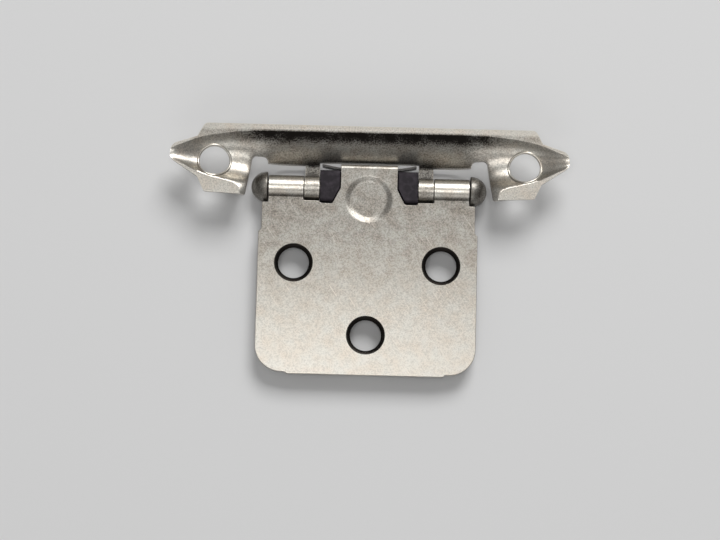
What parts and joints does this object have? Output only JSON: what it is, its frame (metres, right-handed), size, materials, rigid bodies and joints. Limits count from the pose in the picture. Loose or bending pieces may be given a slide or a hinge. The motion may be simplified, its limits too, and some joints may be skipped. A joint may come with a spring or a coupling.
{
  "type": "self-closing cabinet hinge",
  "caption": "Self-closing overlay cabinet hinge: a pressed frame wing, a flat door leaf on headed pins, and a nylon cam with its spring.",
  "frame": {"origin": "centre of the footprint, on the surface the hinge lies on with its front down", "axes": "+X along the pins, +Y from the leaf to the wing, +Z out of the back, the side that faces the cabinet frame"},
  "size_m": [0.0698, 0.0432, 0.0072],
  "materials": {
    "plated_steel": "satin antique nickel plate",
    "nylon": "moulded, dark",
    "spring_steel": "bare spring strip"
  },
  "bodies": {
    "wing": {"frame_wing": "plated_steel", "closing_spring": "spring_steel"},
    "leaf": {"door_leaf": "plated_steel", "cam_block": "nylon", "left_pin": "plated_steel", "right_pin": "plated_steel"}
  },
  "joints": [
    {"name": "leaf_swing", "type": "hinge", "parent": "wing", "child": "leaf", "pos_m": [0, 0.01135, 0.00265], "axis": [1, 0, 0], "range_deg": [0, 105], "stiffness_Nm_per_rad": 0.06, "deforming": ["closing_spring"]}
  ]
}
